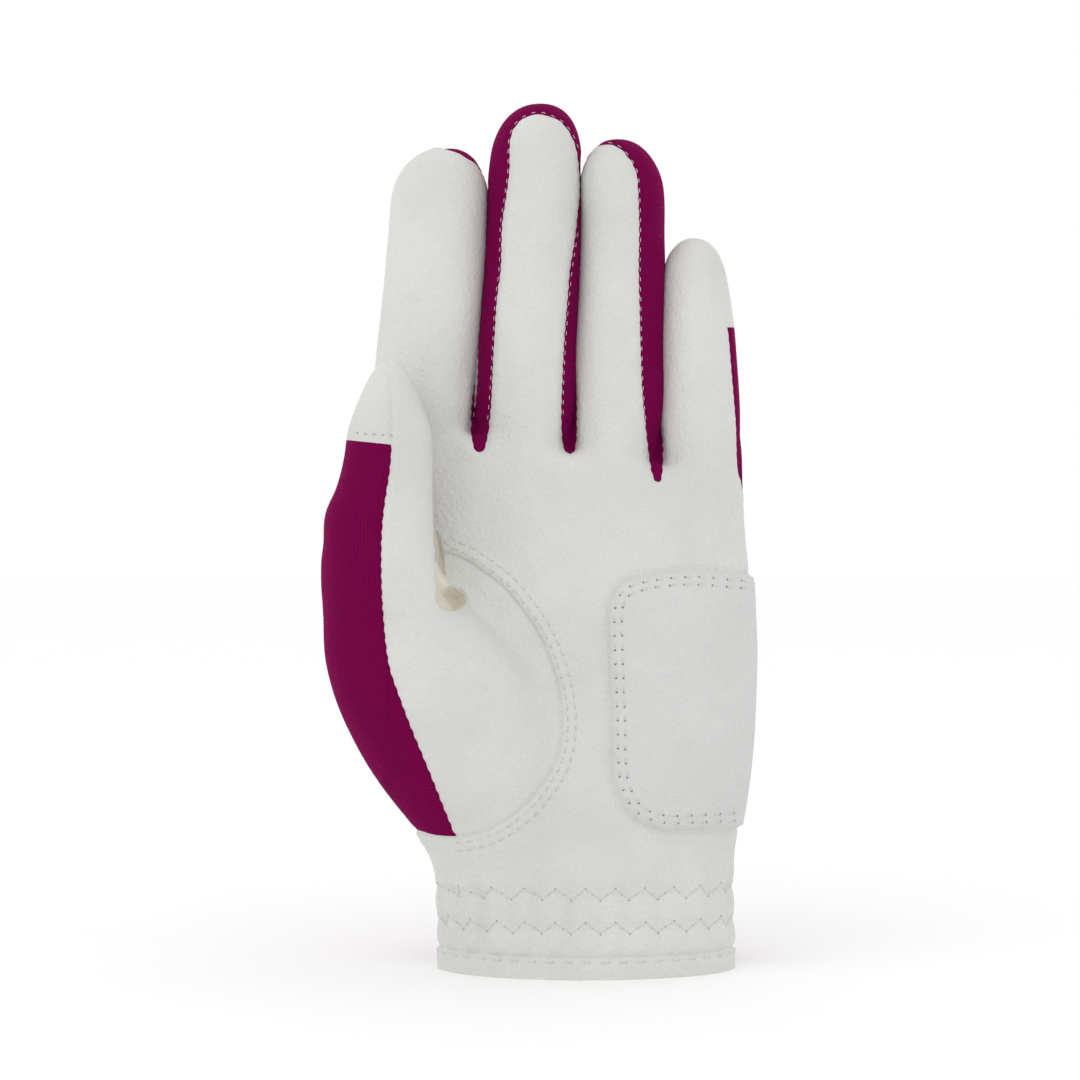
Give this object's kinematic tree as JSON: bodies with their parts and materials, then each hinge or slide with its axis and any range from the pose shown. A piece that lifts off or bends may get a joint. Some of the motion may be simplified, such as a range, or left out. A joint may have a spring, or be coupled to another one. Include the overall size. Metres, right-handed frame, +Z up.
{
  "type": "golf glove",
  "caption": "Left-hand golf glove standing on its cuff: white leather palm and finger fronts, magenta knit back, heel patch, shirred wrist and hook-and-loop tab.",
  "frame": {"origin": "centre of the wrist opening, in the plane of the hem", "axes": "+Z up towards the fingertips, palm faces -Y, thumb at -X, little finger at +X"},
  "size_m": [0.1, 0.0581, 0.2003],
  "materials": {
    "leather_white": "matte",
    "knit_magenta": "matte",
    "elastic_white": "matte",
    "lining_beige": "matte",
    "loop_magenta": "matte",
    "hook_white": "matte"
  },
  "bodies": {
    "hand": {"palm_panel": "leather_white", "back_panel": "knit_magenta", "thumb_base_panel": "leather_white", "thumb_back_lower": "knit_magenta", "thumb_gusset": "lining_beige", "heel_patch": "leather_white", "hem_binding": "leather_white", "wrist_elastic_lower": "elastic_white", "wrist_elastic_upper": "elastic_white", "slit_binding": "leather_white", "loop_patch": "loop_magenta", "tab_base": "leather_white"},
    "tab": {"closure_tab": "leather_white", "tab_lining": "lining_beige", "hook_patch": "hook_white"},
    "thumb": {"thumb_palm_upper": "leather_white", "thumb_back_upper": "knit_magenta", "thumb_tip_cap": "leather_white"},
    "index_tip": {"index_palm_upper": "leather_white", "index_back_upper": "knit_magenta"},
    "middle_root": {"middle_palm_lower": "leather_white", "middle_back_lower": "knit_magenta"},
    "middle_tip": {"middle_palm_upper": "leather_white", "middle_back_upper": "knit_magenta"},
    "ring_root": {"ring_palm_lower": "leather_white", "ring_back_lower": "knit_magenta"},
    "ring_tip": {"ring_palm_upper": "leather_white", "ring_back_upper": "knit_magenta"},
    "little_root": {"little_palm_lower": "leather_white", "little_back_lower": "knit_magenta"},
    "little_tip": {"little_palm_upper": "leather_white", "little_back_upper": "knit_magenta", "little_tip_cap": "leather_white"}
  },
  "joints": [
    {"name": "index_mid_fold", "type": "hinge", "parent": "hand", "child": "index_tip", "pos_m": [0, -0.0111, 0.149], "axis": [1, 0, 0], "range_deg": [0, 90]},
    {"name": "middle_root_fold", "type": "hinge", "parent": "hand", "child": "middle_root", "pos_m": [0, -0.0105, 0.124], "axis": [1, 0, 0], "range_deg": [0, 70]},
    {"name": "middle_mid_fold", "type": "hinge", "parent": "middle_root", "child": "middle_tip", "pos_m": [0, -0.0105, 0.152], "axis": [1, 0, 0], "range_deg": [0, 90]},
    {"name": "ring_root_fold", "type": "hinge", "parent": "hand", "child": "ring_root", "pos_m": [0, -0.0098, 0.124], "axis": [1, 0, 0], "range_deg": [0, 70]},
    {"name": "ring_mid_fold", "type": "hinge", "parent": "ring_root", "child": "ring_tip", "pos_m": [0, -0.0098, 0.151], "axis": [1, 0, 0], "range_deg": [0, 90]},
    {"name": "little_root_fold", "type": "hinge", "parent": "hand", "child": "little_root", "pos_m": [0, -0.0089, 0.118], "axis": [1, 0, 0], "range_deg": [0, 70]},
    {"name": "little_mid_fold", "type": "hinge", "parent": "little_root", "child": "little_tip", "pos_m": [0, -0.0089, 0.141], "axis": [1, 0, 0], "range_deg": [0, 90]},
    {"name": "thumb_fold", "type": "hinge", "parent": "hand", "child": "thumb", "pos_m": [0, -0.0354, 0.096], "axis": [1, 0, 0], "range_deg": [0, 45]},
    {"name": "tab_fold", "type": "hinge", "parent": "hand", "child": "tab", "pos_m": [-0.007, 0.022, 0.021], "axis": [0, 0, 1], "range_deg": [0, 150]}
  ]
}
